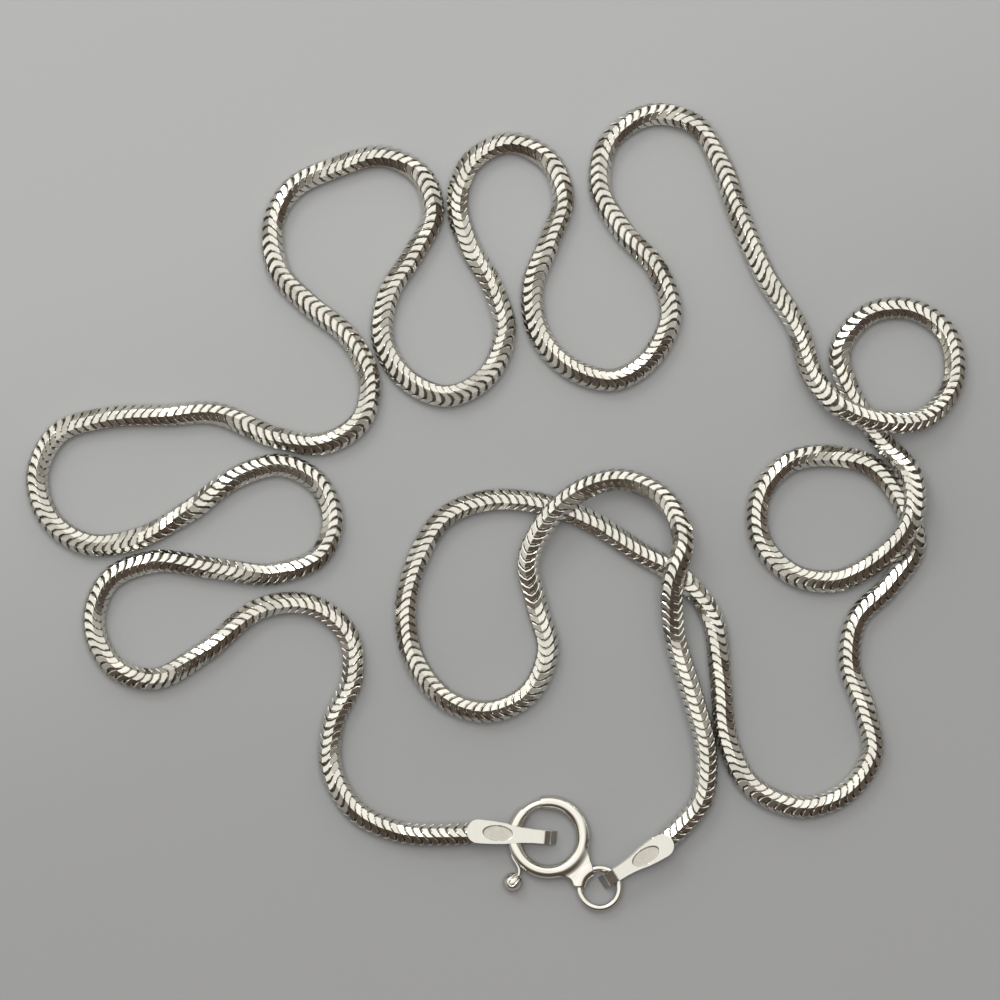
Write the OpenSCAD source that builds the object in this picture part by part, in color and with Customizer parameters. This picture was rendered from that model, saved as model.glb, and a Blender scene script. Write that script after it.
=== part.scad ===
// Fine eight-sided snake chain necklace, lying in loops and closed by a bolt ring.
// Millimetres, +Z up. The chain lies on z = 0, and the origin is the middle of the
// whole piece's footprint.

/* [Chain] */
// Width of the eight-sided chain across its flats
chain_w = 1.65; // [1.3:0.05:1.7]
// Free height between two strands where one passes over the other
pass_gap = 0.1; // [0.05:0.05:0.5]

/* [End tags] */
// Thickness of the folded strip
tag_t = 0.25; // [0.15:0.05:0.4]
// Width of the strip at its rounded end
tag_w = 1.7; // [1.5:0.1:2.4]
// Width of the strip where it folds
neck_w = 0.95; // [0.6:0.05:1.4]
// Free length in the left tag's fold, past the bolt ring's tube
left_slack = 2.1; // [0.5:0.1:2.3]
// Free length in the right tag's fold, past the jump ring's wire
right_slack = 0.4; // [0.05:0.05:0.8]
// Length of the gentle slope that starts the left tag's fold, seen from above
left_nose = 0.45; // [0.3:0.05:0.9]
// Length of the gentle slope that starts the right tag's fold, seen from above
right_nose = 0.8; // [0.3:0.05:0.9]
// How far the steep end of a fold slants out, seen from above
fold_run = 0.45; // [0.3:0.05:0.8]
// Length of chain held between the two leaves
grip = 1.4; // [1:0.1:1.8]
// Length of the oval recess
oval_l = 2.2; // [1.5:0.1:2.6]
// Width of the oval recess
oval_w = 1.15; // [0.6:0.05:1.3]
// Depth of the oval recess
oval_depth = 0.08; // [0.04:0.02:0.12]
// Distance from the strip's round end to the recess
oval_inset = 1.15; // [0.4:0.05:1.3]

/* [Clasp ring] */
// Outer diameter of the bolt ring
ring_d = 6.1; // [5.5:0.1:6.5]
// Outer diameter of its tube
tube_d = 1; // [0.9:0.05:1.1]
// Wall of the tube
tube_wall = 0.12; // [0.1:0.01:0.16]
// Angle that the mouth of the ring opens over
mouth_angle = 32; // [20:1:36]
// Outer diameter of the bent eye on the lug
eye_d = 1; // [0.95:0.05:1.2]
// Angle that the eye wraps the jump ring's wire over
eye_over = 70; // [50:2:76]
// Angle that the lug's foot spans to each side of its middle
foot_angle = 29; // [22:1:31]
// Width of the lug at its waist, between the tube and the eye
waist_w = 2; // [1.4:0.1:2.2]
// Free length of the lug between the tube and the eye
web_l = 0.25; // [0.1:0.05:0.3]
// Height of the lug between the tube and the eye
web_h = 0.8; // [0.7:0.02:0.86]

/* [Bolt] */
// Play between the bolt and the tube's bore, all round
bolt_play = 0.04; // [0.02:0.01:0.06]
// Length of the bolt's tip beyond the mouth, as an angle
tip_angle = 6; // [3:1:8]
// Diameter of the ball that a nail pulls back
knob_d = 1.35; // [1:0.05:1.4]
// Distance from the ring's axis to the ball's middle
knob_reach = 4.2; // [4:0.05:4.5]
// Width of the bar that carries the ball, seen from above
bar_w = 0.28; // [0.2:0.02:0.32]
// Height of that bar
bar_h = 0.34; // [0.2:0.02:0.4]

/* [Jump ring] */
// Outer diameter of the jump ring
jump_d = 3.4; // [3.2:0.1:3.8]
// Diameter of its wire
jump_wire = 0.48; // [0.4:0.02:0.5]

/* [Hidden] */
// Gap left between pieces that lie on each other
seat_gap = 0.05;
// Gap left round the jump ring's wire in the lug's eye
eye_play = 0.08;
// Clear length added to a cut, so that it runs past the face it opens
past = 0.2;
// Corners of an ellipse and of a small circle, and of a ring
round_fn = 48;
ring_fn = 96;
// Slope of the gentle start of a tag's fold
nose_slope = 37;
// How a tag's flat face narrows. Each row is a distance from the fold as a share of the
// face's length, and a share of the way from the neck's width to the full width.
TAPER = [[0.65, 0.9], [0.5, 0.7], [0.4, 0.43], [0.3, 0.2], [0.15, 0.03]];
// Straight pieces in one side of the lug
side_steps = 6;
// How far out from the tube's middle line the bar bends, and its length at the ball
bar_rise = 0.36;
bar_neck = 0.1;
// Angle that the bore and the slot run on past the bolt, and where the bore ends
run_on = 5;
bore_end = 290;
// Where the ring's axis stands, seen from above
clasp_at = [3.9, -24.3];
// Direction of the left tag, from the chain towards the fold
left_turn = -5;
// Direction of the right tag, from the chain towards the fold
right_turn = 212;
// Direction of the lug, seen from the ring's axis
lug_turn = -45;
// Angle at which the eye starts, seen from the jump ring's middle, and how far its bore runs on
eye_from = 108;
bore_past = 12;
// Angles at which the mouth starts, and at which the bar and the ball stand at rest
mouth_from = 102;
bar_from = 191;
bar_mid = 204;
knob_turn = 231;

// The route of the chain from its left end to its right end. Each row is a place on its
// middle line and how high it passes there, as a share of one strand's height and gap.
ROUTE = [
    [-0.7, -23.9, 0], [-3.5, -24.1, 0], [-7.0, -23.9, 0], [-10.2, -22.4, 0],
    [-12.0, -19.4, 0], [-11.9, -16.0, 0], [-10.5, -12.6, 0], [-10.9, -9.4, 0],
    [-13.5, -7.3, 0], [-17.2, -7.5, 0], [-21.2, -10.6, 0], [-25.0, -12.7, 0],
    [-28.0, -11.8, 0], [-29.5, -8.7, 0], [-28.4, -5.5, 0], [-25.1, -4.1, 0],
    [-20.6, -4.6, 0], [-16.4, -5.0, 0], [-13.0, -3.7, 0], [-12.0, -1.2, 0],
    [-13.0, 1.6, 0], [-15.7, 3.0, 0], [-18.9, 2.2, 0], [-22.4, -0.3, 0],
    [-26.3, -2.4, 0], [-30.0, -2.8, 0], [-32.8, -0.9, 0], [-33.7, 2.3, 0],
    [-32.1, 5.4, 0], [-28.6, 6.5, 0], [-24.0, 6.7, 0], [-20.6, 6.8, 0],
    [-16.0, 5.0, 0], [-12.6, 4.6, 0], [-9.9, 6.3, 0], [-9.3, 9.4, 0],
    [-10.8, 12.4, 0], [-13.9, 15.0, 0], [-16.0, 17.4, 0], [-16.4, 20.8, 0],
    [-15.0, 23.4, 0], [-11.8, 25.0, 0], [-8.3, 25.8, 0], [-5.5, 24.4, 0],
    [-4.6, 21.6, 0], [-6.0, 18.6, 0], [-7.9, 15.6, 0], [-8.3, 12.2, 0],
    [-6.5, 9.3, 0], [-3.5, 8.1, 0], [-0.6, 9.6, 0], [0.7, 12.9, 0],
    [-0.3, 16.3, 0], [-2.0, 19.3, 0], [-2.8, 22.5, 0], [-1.8, 25.4, 0],
    [1.0, 26.8, 0], [3.9, 25.5, 0], [5.0, 22.7, 0], [3.9, 19.4, 0],
    [2.7, 16.0, 0], [3.3, 12.5, 0], [5.6, 10.1, 0], [8.8, 9.3, 0],
    [11.5, 11.0, 0], [12.9, 14.2, 0], [11.8, 17.6, 0], [9.3, 20.4, 0],
    [7.7, 23.5, 0], [8.4, 26.9, 0], [11.4, 28.9, 0], [14.7, 28.2, 0],
    [16.6, 25.3, 0], [17.9, 21.6, 0], [19.8, 17.1, 0], [22.2, 13.2, 0],
    [23.3, 9.5, 0.5], [25.2, 7.2, 1.1], [28.4, 6.1, 1.1], [31.6, 6.5, 0.5],
    [33.7, 9.2, 0], [33.2, 12.7, 0], [30.6, 14.5, 0], [27.4, 14.1, 0],
    [25.4, 11.5, 0], [26.1, 8.4, 0], [28.3, 5.0, 0.1], [30.5, 2.1, 0.8],
    [30.4, -1.2, 1.05], [28.4, -3.7, 0.5], [25.1, -5.5, 0], [21.8, -5.0, 0],
    [19.5, -2.5, 0], [19.5, 0.8, 0], [21.6, 3.2, 0], [24.8, 3.7, 0],
    [27.8, 2.8, 0], [30.0, 0.1, 0], [30.8, -3.0, 0], [28.9, -5.9, 0],
    [26.5, -8.4, 0], [26.0, -11.7, 0], [27.1, -15.0, 0], [27.6, -18.2, 0],
    [25.7, -21.0, 0], [22.4, -22.1, 0], [18.7, -20.5, 0], [17.0, -17.2, 0],
    [16.5, -12.7, 0], [15.9, -8.3, 0], [13.8, -5.4, 0], [10.4, -3.3, 0],
    [6.9, -1.1, 0], [3.2, 0.2, 0], [-0.6, 0.4, 0], [-3.7, -0.8, 0],
    [-5.7, -3.8, 0], [-6.6, -7.6, 0], [-5.9, -11.4, 0], [-3.6, -14.2, 0],
    [-0.5, -15.1, 0], [2.4, -13.8, 0], [3.8, -10.7, 0], [3.0, -7.2, 0],
    [2.4, -4.1, 0.5], [3.9, -1.0, 1], [6.6, 1.2, 1], [9.5, 1.8, 0.7],
    [12.5, 0.3, 0.7], [13.7, -2.6, 1], [12.9, -6.0, 1], [13.2, -9.8, 0.3],
    [14.4, -13.9, 0.3], [15.4, -18.0, 0.3], [15.1, -21.5, 0.2], [13.7, -23.4, 0],
    [11.7, -25.2, 0]];

// A place given by its distance from a centre and its direction
function polar(r, a) = r * [cos(a), sin(a)];

// Values that follow from the sizes above
last = len(ROUTE) - 1;
leaf_room = chain_w + 2 * seat_gap;
tag_h = leaf_room + 2 * tag_t;
bore_d = tube_d - 2 * tube_wall;
bolt_d = bore_d - 2 * bolt_play;
tube_r = (ring_d - tube_d) / 2;
eye_hole = jump_wire + 2 * eye_play;
eye_reach = ring_d / 2 + web_l + eye_d / 2;
jump_r = (jump_d - jump_wire) / 2;
travel = mouth_angle + tip_angle;
clasp_z = max(tag_t + tube_d / 2, eye_d / 2, knob_d / 2) + seat_gap;
jump_at = clasp_at + polar(eye_reach + jump_r, lug_turn);

// Middle of the footprint: the chain's own reach, and the jump ring's on the near side
half_w = chain_w / 2;
min_x = min([for (p = ROUTE) p.x]) - half_w;
max_x = max([for (p = ROUTE) p.x]) + half_w;
min_y = min(min([for (p = ROUTE) p.y]) - half_w, jump_at.y - jump_d / 2);
max_y = max([for (p = ROUTE) p.y]) + half_w;
middle = [(min_x + max_x) / 2, (min_y + max_y) / 2];

module centred() {
    translate([-middle.x, -middle.y, 0]) children();
}

// Places along the chain. Its two ends rise onto the tags' lower leaves.
function plan(i) = [ROUTE[i].x, ROUTE[i].y];
function held(i) = i <= 1 || i >= last - 1;
function rise(i) = held(i) ? tag_t + seat_gap : ROUTE[i][2] * (chain_w + pass_gap);

// Sideways direction of one straight stretch, and of the corner between two
function across(i) = let (d = plan(i + 1) - plan(i)) [-d.y, d.x] / norm(d);
function corner(i) =
    i == 0 ? across(0) :
    i == last ? across(last - 1) :
    let (a = across(i - 1), b = across(i)) (a + b) / (1 + a * b);

// One eight-sided ring of points, flat side down, standing upright in the corner
function octagon(i) =
    let (r = half_w / cos(22.5), c = corner(i))
    [for (k = [0:7]) let (a = 22.5 + 45 * k)
        concat(plan(i) + c * r * cos(a), rise(i) + half_w + r * sin(a))];

module chain() {
    rings = last + 1;
    points = [for (i = [0:last]) each octagon(i)];
    walls = [for (i = [0:last - 1], k = [0:7])
        [8 * i + k, 8 * i + (k + 1) % 8, 8 * i + 8 + (k + 1) % 8, 8 * i + 8 + k]];
    start = [for (k = [0:7]) 7 - k];
    finish = [for (k = [0:7]) 8 * (rings - 1) + k];
    centred() color("silver") polyhedron(points, concat([start], walls, [finish]));
}

// The outline of an ellipse of full length l and full width w
module ellipse(l, w) {
    polygon([for (i = [0:round_fn - 1]) let (a = 360 * i / round_fn) [l / 2 * cos(a), w / 2 * sin(a)]]);
}

// The outer face of a fold whose gentle slope has a length: the flat face's edge, the end of
// that slope and the foot, seen from the side
function fold(nose) = [[0, tag_h], [nose, tag_h - nose * tan(nose_slope)], [nose + fold_run, 0]];

// The upper side of a line that runs down and out, and the place where two lines cross
function outward(d) = [-d.y, d.x] / norm(d);
function meet(p, d, q, e) = p + d * cross(q - p, e) / cross(d, e);

// Where the steep end's inner face stands at height z
function inner_x(nose, z) =
    let (f = fold(nose), e = f[2] - f[1]) meet([0, z], [1, 0], f[2] - tag_t * outward(e), e).x;

// Length of a tag's flat face, from its round end to the fold. The fold clears the wire,
// of diameter d and with its middle at a place, that it holds.
function flat_for(end, turn, place, d, slack, nose) =
    grip + (place - end) * polar(1, turn) + d / 2 + slack - inner_x(nose, clasp_z + d / 2);

// The strip's shape from the side: x runs towards the fold, whose edge is x = 0
module tag_side(flat, nose) {
    f = fold(nose);
    gentle = f[1] - f[0];
    under = f[0] - tag_t * outward(gentle);
    steep = f[2] - f[1];
    behind = f[2] - tag_t * outward(steep);
    polygon(concat(
        [[-flat, tag_h]], f, [[-flat, 0], [-flat, tag_t]],
        [[inner_x(nose, tag_t), tag_t], meet(under, gentle, behind, steep),
         meet([0, tag_h - tag_t], [1, 0], under, gentle), [-flat, tag_h - tag_t]]));
}

// The strip's outline from above: a round end, and a taper down to the fold
module tag_outline(flat, nose) {
    half = tag_w / 2;
    neck = neck_w / 2;
    side = [for (row = TAPER) [-flat * row[0], neck + (half - neck) * row[1]]];
    turns = len(side) - 1;
    polygon(concat(
        [for (k = [0:round_fn / 2]) let (a = 90 + 360 * k / round_fn)
            [half - flat + half * cos(a), half * sin(a)]],
        [for (p = side) [p.x, -p.y]],
        [[0, -neck], [nose + fold_run, -neck], [nose + fold_run, neck], [0, neck]],
        [for (k = [0:turns]) side[turns - k]]));
}

// A flat strip folded back under itself, with an oval recess in its upper face
module end_tag(flat, nose) {
    difference() {
        intersection() {
            rotate([90, 0, 0]) linear_extrude(tag_w * 2, center = true) tag_side(flat, nose);
            linear_extrude(tag_h) tag_outline(flat, nose);
        }
        translate([oval_l / 2 + oval_inset - flat, 0, tag_h - oval_depth])
            linear_extrude(past) ellipse(oval_l, oval_w);
    }
}

// A tag laid along a direction, holding the chain's end at a place on the route
module tag_at(end, turn, flat, nose) {
    translate([end.x, end.y, 0]) rotate(turn) translate([flat - grip, 0, 0]) end_tag(flat, nose);
}

module end_tag_left() {
    tube_at = clasp_at - polar(tube_r, left_turn);
    flat = flat_for(plan(0), left_turn, tube_at, tube_d, left_slack, left_nose);
    centred() color("silver") tag_at(plan(0), left_turn, flat, left_nose);
}

module end_tag_right() {
    wire_at = jump_at - polar(jump_r, right_turn);
    flat = flat_for(plan(last), right_turn, wire_at, jump_wire, right_slack, right_nose);
    centred() color("silver") tag_at(plan(last), right_turn, flat, right_nose);
}

// A round bar of diameter d bent about the ring's axis, from one angle over another
module bent_bar(d, from, over) {
    rotate([0, 0, from]) rotate_extrude(angle = over, $fn = ring_fn)
        translate([tube_r, 0]) circle(d = d, $fn = round_fn);
}

// A wedge of a flat ring about the ring's axis
module wedge(inner, outer, from, over, height) {
    rotate([0, 0, from]) rotate_extrude(angle = over, $fn = ring_fn)
        translate([inner, -height / 2]) square([outer - inner, height]);
}

module in_clasp() {
    centred() translate([clasp_at.x, clasp_at.y, clasp_z]) children();
}

// A round bar of diameter d bent about the jump ring's middle, along the eye
module bent_eye(d, past_ends) {
    translate([eye_reach + jump_r, 0, 0]) rotate([0, 0, eye_from - lug_turn - past_ends])
        rotate_extrude(angle = eye_over + 2 * past_ends, $fn = ring_fn)
            translate([jump_r, 0]) circle(d = d, $fn = round_fn);
}

// A smooth curve in the plane from a to c that sets out towards b
function side(a, b, c) =
    [for (k = [0:side_steps]) let (t = k / side_steps)
        (1 - t) * (1 - t) * a + 2 * t * (1 - t) * b + t * t * c];

// The lug seen from above: it leaves the tube along a wide foot, narrows and widens to the eye
module web() {
    edge = ring_d / 2;
    far = [eye_reach + jump_r, 0];
    from = eye_from - lug_turn;
    outer_r = jump_r + eye_d / 2;
    inner = [for (k = [0:side_steps]) far + polar(jump_r, from + eye_over * k / side_steps)];
    left = side(polar(edge, foot_angle), [edge, waist_w / 2], far + polar(outer_r, from));
    right = side(far + polar(outer_r, from + eye_over), [edge, -waist_w / 2], polar(edge, -foot_angle));
    polygon(concat([polar(tube_r, foot_angle)], left, inner, right, [polar(tube_r, -foot_angle)]));
}

// The lug without its bore
module lug() {
    rotate(lug_turn) {
        linear_extrude(web_h, center = true) web();
        bent_eye(eye_d, 0);
    }
}

// The tube, open at its mouth, bored for the bolt and slotted for the bolt's bar
module clasp_ring() {
    bore_from = mouth_from - tip_angle - run_on;
    slot_from = bar_from - run_on;
    slot_over = knob_turn + travel + run_on - slot_from;
    in_clasp() color("silver") difference() {
        union() {
            bent_bar(tube_d, 0, 360);
            lug();
        }
        bent_bar(bore_d, bore_from, bore_end - bore_from);
        wedge(tube_r - tube_d, tube_r + tube_d, mouth_from, mouth_angle, tube_d + past);
        wedge(tube_r, tube_r + tube_d, slot_from, slot_over, bar_h + 2 * bolt_play);
        rotate(lug_turn) bent_eye(eye_hole, bore_past);
    }
}

// The bolt in the tube, the straight bar that leaves it through the slot, and the ball
module clasp_bolt() {
    bolt_from = mouth_from - tip_angle;
    root = polar(tube_r, bar_from);
    bend = polar(tube_r + bar_rise, bar_mid);
    toe = polar(knob_reach - knob_d / 2 - bar_neck, knob_turn);
    knob = polar(knob_reach, knob_turn);
    in_clasp() color("silver") {
        bent_bar(bolt_d, bolt_from, bar_from - bolt_from);
        linear_extrude(bar_h, center = true) {
            bar(root, bend);
            bar(bend, toe);
            bar(toe, knob);
        }
        translate([knob.x, knob.y, 0]) sphere(d = knob_d, $fn = round_fn);
    }
}

// A straight bar from one place to another with round ends, seen from above
module bar(a, b) {
    d = b - a;
    translate(a) circle(d = bar_w, $fn = round_fn);
    translate(b) circle(d = bar_w, $fn = round_fn);
    translate(a) rotate(atan2(d.y, d.x)) translate([0, -bar_w / 2]) square([norm(d), bar_w]);
}

// The closed ring of wire that joins the lug to the right tag
module jump_ring() {
    centred() translate([jump_at.x, jump_at.y, clasp_z]) color("silver")
        rotate_extrude($fn = ring_fn) translate([jump_r, 0]) circle(d = jump_wire, $fn = round_fn);
}

chain();
end_tag_left();
end_tag_right();
clasp_ring();
clasp_bolt();
jump_ring();
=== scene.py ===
"""Dresses the snake chain necklace: its links, end tags, bolt ring and the surface that it lies on."""

import math
import random

import bmesh
import bpy
import numpy as np
from bpy.props import FloatProperty, FloatVectorProperty, PointerProperty
from mathutils import Matrix, Vector


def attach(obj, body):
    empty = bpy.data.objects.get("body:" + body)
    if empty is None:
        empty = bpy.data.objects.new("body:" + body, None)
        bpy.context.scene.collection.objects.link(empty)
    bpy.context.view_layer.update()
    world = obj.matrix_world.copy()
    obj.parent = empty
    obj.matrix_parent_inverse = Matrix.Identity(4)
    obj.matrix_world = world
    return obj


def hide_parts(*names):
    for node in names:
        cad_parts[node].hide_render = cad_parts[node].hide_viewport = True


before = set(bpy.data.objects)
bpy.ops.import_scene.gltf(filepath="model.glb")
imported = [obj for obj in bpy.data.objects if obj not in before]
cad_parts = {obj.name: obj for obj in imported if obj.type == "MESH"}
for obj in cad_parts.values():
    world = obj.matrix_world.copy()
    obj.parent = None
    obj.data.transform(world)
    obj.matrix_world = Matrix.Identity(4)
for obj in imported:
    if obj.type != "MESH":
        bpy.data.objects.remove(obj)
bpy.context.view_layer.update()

bl_info = {
    "name": "Snake Chain Necklace",
    "version": (1, 0, 0),
    "blender": (4, 5, 0),
    "location": "View3D > Sidebar > Necklace",
    "description": "Models a snake chain with its end tags, bolt ring and jump ring",
    "category": "Add Mesh",
}

MM = 0.001
TINY = 1e-6
# Seed of the small random lean and shade of each link
LINK_SEED = 11
# Share of its light that silver still reflects at a very steep angle, set low as painted shade: it
# darkens steep sides and edges as if they mirrored the shaded floor beside them
STEEP_SHADE_TINT = (0.4, 0.38, 0.36, 1)

# Places of the sockets that a name alone doesn't find
MIX_SHARE, MIX_FIRST, MIX_SECOND, MIX_COLOUR = 0, 6, 7, 2
RANGE_VALUE, RANGE_FROM, RANGE_TO = 0, 1, 2
DOT_VALUE = 1

# Where the frame's origin stands on the route, in millimetres
ROUTE_MIDDLE = (0.0, 0.0028)
# Height of a strand that passes over another, and of an end on its tag's lower leaf
PASS_LIFT = 1.75 * MM
TAG_LIFT = 0.3 * MM

# The chain's middle line from its left end to its right end: x and y in millimetres, and how
# high it passes there, as a share of PASS_LIFT
ROUTE = [
    (-0.7, -23.9, 0), (-3.5, -24.1, 0), (-7.0, -23.9, 0), (-10.2, -22.4, 0),
    (-12.0, -19.4, 0), (-11.9, -16.0, 0), (-10.5, -12.6, 0), (-10.9, -9.4, 0),
    (-13.5, -7.3, 0), (-17.2, -7.5, 0), (-21.2, -10.6, 0), (-25.0, -12.7, 0),
    (-28.0, -11.8, 0), (-29.5, -8.7, 0), (-28.4, -5.5, 0), (-25.1, -4.1, 0),
    (-20.6, -4.6, 0), (-16.4, -5.0, 0), (-13.0, -3.7, 0), (-12.0, -1.2, 0),
    (-13.0, 1.6, 0), (-15.7, 3.0, 0), (-18.9, 2.2, 0), (-22.4, -0.3, 0),
    (-26.3, -2.4, 0), (-30.0, -2.8, 0), (-32.8, -0.9, 0), (-33.7, 2.3, 0),
    (-32.1, 5.4, 0), (-28.6, 6.5, 0), (-24.0, 6.7, 0), (-20.6, 6.8, 0),
    (-16.0, 5.0, 0), (-12.6, 4.6, 0), (-9.9, 6.3, 0), (-9.3, 9.4, 0),
    (-10.8, 12.4, 0), (-13.9, 15.0, 0), (-16.0, 17.4, 0), (-16.4, 20.8, 0),
    (-15.0, 23.4, 0), (-11.8, 25.0, 0), (-8.3, 25.8, 0), (-5.5, 24.4, 0),
    (-4.6, 21.6, 0), (-6.0, 18.6, 0), (-7.9, 15.6, 0), (-8.3, 12.2, 0),
    (-6.5, 9.3, 0), (-3.5, 8.1, 0), (-0.6, 9.6, 0), (0.7, 12.9, 0),
    (-0.3, 16.3, 0), (-2.0, 19.3, 0), (-2.8, 22.5, 0), (-1.8, 25.4, 0),
    (1.0, 26.8, 0), (3.9, 25.5, 0), (5.0, 22.7, 0), (3.9, 19.4, 0),
    (2.7, 16.0, 0), (3.3, 12.5, 0), (5.6, 10.1, 0), (8.8, 9.3, 0),
    (11.5, 11.0, 0), (12.9, 14.2, 0), (11.8, 17.6, 0), (9.3, 20.4, 0),
    (7.7, 23.5, 0), (8.4, 26.9, 0), (11.4, 28.9, 0), (14.7, 28.2, 0),
    (16.6, 25.3, 0), (17.9, 21.6, 0), (19.8, 17.1, 0), (22.2, 13.2, 0),
    (23.3, 9.5, 0.5), (25.2, 7.2, 1.1), (28.4, 6.1, 1.1), (31.6, 6.5, 0.5),
    (33.7, 9.2, 0), (33.2, 12.7, 0), (30.6, 14.5, 0), (27.4, 14.1, 0),
    (25.4, 11.5, 0), (26.1, 8.4, 0), (28.3, 5.0, 0.1), (30.5, 2.1, 0.8),
    (30.4, -1.2, 1.05), (28.4, -3.7, 0.5), (25.1, -5.5, 0), (21.8, -5.0, 0),
    (19.5, -2.5, 0), (19.5, 0.8, 0), (21.6, 3.2, 0), (24.8, 3.7, 0),
    (27.8, 2.8, 0), (30.0, 0.1, 0), (30.8, -3.0, 0), (28.9, -5.9, 0),
    (26.5, -8.4, 0), (26.0, -11.7, 0), (27.1, -15.0, 0), (27.6, -18.2, 0),
    (25.7, -21.0, 0), (22.4, -22.1, 0), (18.7, -20.5, 0), (17.0, -17.2, 0),
    (16.5, -12.7, 0), (15.9, -8.3, 0), (13.8, -5.4, 0), (10.4, -3.3, 0),
    (6.9, -1.1, 0), (3.2, 0.2, 0), (-0.6, 0.4, 0), (-3.7, -0.8, 0),
    (-5.7, -3.8, 0), (-6.6, -7.6, 0), (-5.9, -11.4, 0), (-3.6, -14.2, 0),
    (-0.5, -15.1, 0), (2.4, -13.8, 0), (3.8, -10.7, 0), (3.0, -7.2, 0),
    (2.4, -4.1, 0.5), (3.9, -1.0, 1), (6.6, 1.2, 1), (9.5, 1.8, 0.7),
    (12.5, 0.3, 0.7), (13.7, -2.6, 1), (12.9, -6.0, 1), (13.2, -9.8, 0.3),
    (14.4, -13.9, 0.3), (15.4, -18.0, 0.3), (15.1, -21.5, 0.2), (13.7, -23.4, 0),
    (11.7, -25.2, 0),
]

# How the chain is turned about its own line, judged in steps of 15 degrees: a row of the
# route, and degrees there. At 0 the middle of a waved edge lags, and at 90 it leads
ROLL = [
    (0, -60), (4, -45), (7, -15), (9, -30), (12, 45), (15, 45), (17, 90), (20, 135), (22, 135),
    (24, 60), (27, 45), (31, 0), (33, -45), (38, -90), (40, -135), (43, -180), (47, -225),
    (50, -240), (53, -180), (55, -150), (58, -195), (60, -225), (64, -225), (68, -270), (70, -315),
    (72, -360), (74, -405), (77, -450), (84, -405), (87, -480), (89, -495), (93, -480), (96, -525),
    (98, -495), (103, -510), (108, -480), (111, -555), (116, -570), (119, -540), (123, -555),
    (128, -540), (131, -465), (136, -450)]

# How a tag's flat face narrows: a distance from the fold as a share of the face's length, and a
# share of the way from the neck's width to the full width
TAPER = [(0, 0), (0.15, 0.03), (0.3, 0.2), (0.4, 0.43), (0.5, 0.7), (0.65, 0.9), (0.8, 1), (1, 1)]

# Layers of the lug from the ring outwards, and the height there as a share of the lug's: 0 is the
# foot, 0.5 the waist, and 1 to 2 run across the eye, from its near side to its far side
LUG_LAYERS = [
    (0, 0.92), (0.5, 0.95), (1.04, 1.02), (1.3, 1.14), (1.55, 1.2), (1.8, 0.98), (1.97, 0.5)]

# Angles round the bolt ring's axis: where the bore ends, where the slot for the bar starts and how
# far it runs, where the bar leaves the bolt, and where the bar first bends
BORE_END = math.radians(290)
SLOT_FROM = math.radians(186)
SLOT_OVER = math.radians(88)
BAR_FROM = math.radians(191)
BAR_BEND = math.radians(204)
SLOT_W = 0.42 * MM


def length_setting(name, description, millimetres):
    return FloatProperty(
        name=name, description=description, default=millimetres * MM, unit="LENGTH", precision=5)


def angle_setting(name, description, degrees):
    return FloatProperty(
        name=name, description=description, default=math.radians(degrees), subtype="ANGLE")


class ChainSizes(bpy.types.PropertyGroup):
    corner_d: length_setting(
        "Chain Diameter", "Diameter over the corners of the eight-sided links", 1.65)
    pitch: length_setting(
        "Pitch", "Distance from one link to the next along the middle line", 0.62)
    band: length_setting("Band", "Width of the flat part of one link's band along the chain", 0.37)
    bevel: length_setting(
        "Bevel", "Width and depth of the bevel along each edge of the band", 0.08)
    wave: length_setting("Wave", "How far the band's edge swings to each side of its middle", 0.4)
    wall: length_setting("Wall", "Depth of a link's wall, from its flats inwards", 0.3)
    tilt: angle_setting(
        "Tilt", "Largest lean of a single link, out of line with its neighbours", 1.5)


class TagSizes(bpy.types.PropertyGroup):
    strip_t: length_setting("Thickness", "Thickness of the folded strip", 0.25)
    height: length_setting("Height", "Height of the folded strip, over both leaves", 2.25)
    head_w: length_setting("Head Width", "Width of the strip at its round end", 1.7)
    neck_w: length_setting("Neck Width", "Width of the strip where it folds", 0.95)
    grip: length_setting("Grip", "Length of chain held between the two leaves", 1.4)
    left_flat: length_setting("Left Face", "Length of the left tag's flat face", 5.73)
    left_nose: length_setting(
        "Left Nose", "Length of the gentle slope at the left tag's fold", 0.45)
    left_turn: angle_setting(
        "Left Turn", "Direction of the left tag, from the chain towards its fold", -5)
    right_flat: length_setting("Right Face", "Length of the right tag's flat face", 4.828)
    right_nose: length_setting(
        "Right Nose", "Length of the gentle slope at the right tag's fold", 0.8)
    right_turn: angle_setting(
        "Right Turn", "Direction of the right tag, from the chain towards its fold", 212)
    slope: angle_setting("Slope", "Slope of the gentle start of a fold", 37)
    foot_run: length_setting("Foot Run", "How far the steep end of a fold slants out", 0.45)
    oval_l: length_setting("Oval Length", "Length of the oval recess", 2.25)
    oval_w: length_setting("Oval Width", "Width of the oval recess", 1.15)
    oval_depth: length_setting("Oval Depth", "Depth of the oval recess", 0.08)
    oval_inset: length_setting(
        "Oval Inset", "Distance from the strip's round end to the recess", 1.15)


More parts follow.
